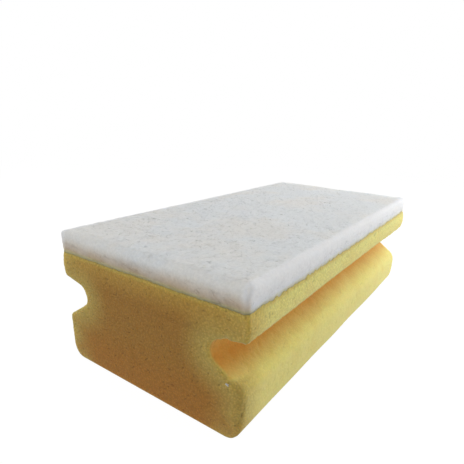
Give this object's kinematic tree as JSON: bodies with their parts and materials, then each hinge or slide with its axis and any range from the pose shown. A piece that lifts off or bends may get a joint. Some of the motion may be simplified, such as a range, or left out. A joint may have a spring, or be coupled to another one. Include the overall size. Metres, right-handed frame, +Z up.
{
  "type": "cleaning sponge",
  "caption": "Block of yellow open-cell foam with a finger groove along each long side and a white fibre scouring pad bonded over its top face.",
  "frame": {"origin": "middle of the underside of the foam, on the surface that the sponge stands on", "axes": "+X along the length, +Y across the width, +Z up from the foam to the scouring pad"},
  "size_m": [0.15, 0.07, 0.045],
  "materials": {
    "foam": "matt open-cell polyurethane foam",
    "pad": "matt nonwoven scouring fibre"
  },
  "bodies": {
    "root": {"foam_body": "foam", "scouring_pad": "pad"}
  },
  "joints": []
}
